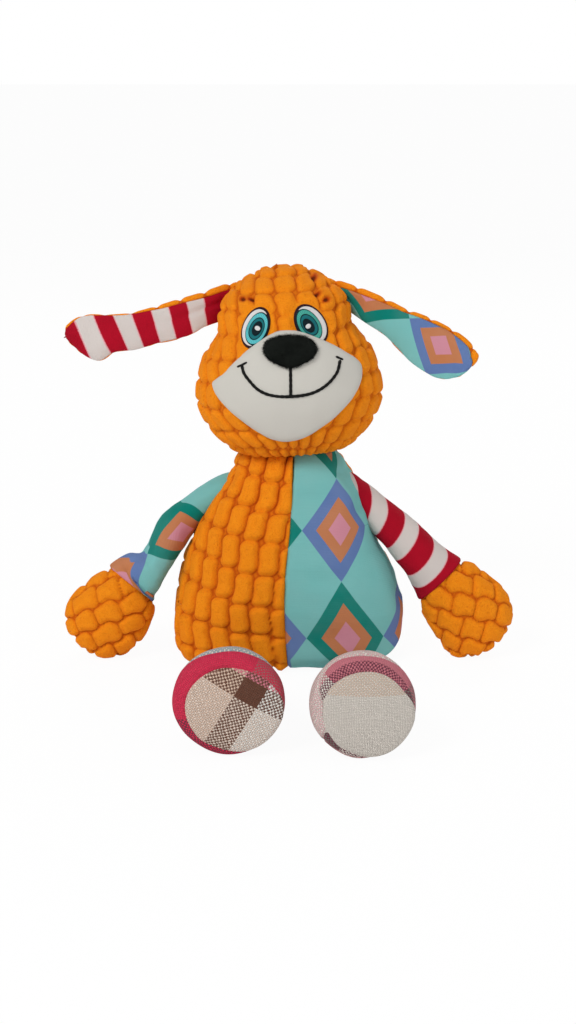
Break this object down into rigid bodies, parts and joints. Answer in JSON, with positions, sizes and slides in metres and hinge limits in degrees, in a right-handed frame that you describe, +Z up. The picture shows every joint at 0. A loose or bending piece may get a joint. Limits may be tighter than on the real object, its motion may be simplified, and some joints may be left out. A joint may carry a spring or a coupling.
{
  "type": "plush dog toy",
  "caption": "Seated stuffed dog of mixed fabrics with long ears, swinging arms and legs, a nodding head and a squeaker inside.",
  "frame": {"origin": "flat patch of the seat that rests on the floor, under the middle of the torso", "axes": "+Z up, the face and the feet point along -Y, +X towards the dog's own left"},
  "size_m": [0.2482, 0.2037, 0.2248],
  "materials": {
    "orange_plush": "short orange pile embossed in oval bubbles, matt",
    "printed_knit": "smooth aqua knit printed with nested diamonds, matt",
    "striped_knit": "smooth knit with broad red and white stripes, matt",
    "white_plush": "short off-white pile, matt",
    "black_plush": "short black pile, matt",
    "plaid_cloth": "coarse woven cloth in pink, cream, beige and brown checks",
    "cream_cloth": "coarse cream woven cloth",
    "white_thread": "satin stitched embroidery, slight sheen",
    "teal_thread": "satin stitched embroidery, slight sheen",
    "black_thread": "satin stitched embroidery, slight sheen",
    "filling": "loose white fibre filling",
    "squeaker_plastic": "thin clear soft plastic"
  },
  "bodies": {
    "torso": {"torso_right_panel": "orange_plush", "torso_left_panel": "printed_knit", "torso_back_panel": "orange_plush", "torso_filling_front": "filling", "torso_filling_back": "filling", "squeaker_bulb": "squeaker_plastic", "squeaker_reed": "squeaker_plastic"},
    "head": {"face_panel": "orange_plush", "head_back_panel": "orange_plush", "head_filling": "filling", "muzzle_panel": "white_plush", "nose_patch": "black_plush", "mouth_stitching": "black_thread", "right_eye_white": "white_thread", "right_eye_iris": "teal_thread", "right_eye_pupil": "black_thread", "left_eye_white": "white_thread", "left_eye_iris": "teal_thread", "left_eye_pupil": "black_thread"},
    "right_ear": {"right_ear_lining": "striped_knit", "right_ear_back": "orange_plush"},
    "left_ear": {"left_ear_lining": "printed_knit", "left_ear_back": "orange_plush"},
    "right_arm": {"right_sleeve": "printed_knit", "right_paw": "orange_plush", "right_arm_filling": "filling"},
    "left_arm": {"left_sleeve": "striped_knit", "left_paw": "orange_plush", "left_arm_filling": "filling"},
    "right_leg": {"right_leg_cover": "plaid_cloth", "right_leg_filling": "filling", "right_sole": "plaid_cloth"},
    "left_leg": {"left_leg_cover": "plaid_cloth", "left_leg_filling": "filling", "left_sole": "cream_cloth"}
  },
  "joints": [
    {"name": "head_nod", "type": "hinge", "parent": "torso", "child": "head", "pos_m": [0, 0.003, 0.10797], "axis": [1, 0, 0], "range_deg": [-15, 17], "stiffness_Nm_per_rad": 0.15},
    {"name": "right_ear_flap", "type": "hinge", "parent": "head", "child": "right_ear", "pos_m": [-0.03407, 0.003, 0.20208], "axis": [0.41, 0, 0.9121], "range_deg": [-45, 60]},
    {"name": "left_ear_flap", "type": "hinge", "parent": "head", "child": "left_ear", "pos_m": [0.02939, 0.003, 0.20631], "axis": [0.527, 0, -0.8499], "range_deg": [-45, 40]},
    {"name": "right_arm_swing", "type": "hinge", "parent": "torso", "child": "right_arm", "pos_m": [-0.0416, 0.005, 0.0944], "axis": [0, 1, 0], "range_deg": [0, 80]},
    {"name": "left_arm_swing", "type": "hinge", "parent": "torso", "child": "left_arm", "pos_m": [0.0416, 0.005, 0.0944], "axis": [0, -1, 0], "range_deg": [0, 80]},
    {"name": "right_leg_swing", "type": "hinge", "parent": "torso", "child": "right_leg", "pos_m": [-0.031, -0.045, 0.018], "axis": [-1, 0, 0], "range_deg": [-68, 35]},
    {"name": "left_leg_swing", "type": "hinge", "parent": "torso", "child": "left_leg", "pos_m": [0.031, -0.045, 0.018], "axis": [-1, 0, 0], "range_deg": [-68, 35]}
  ]
}
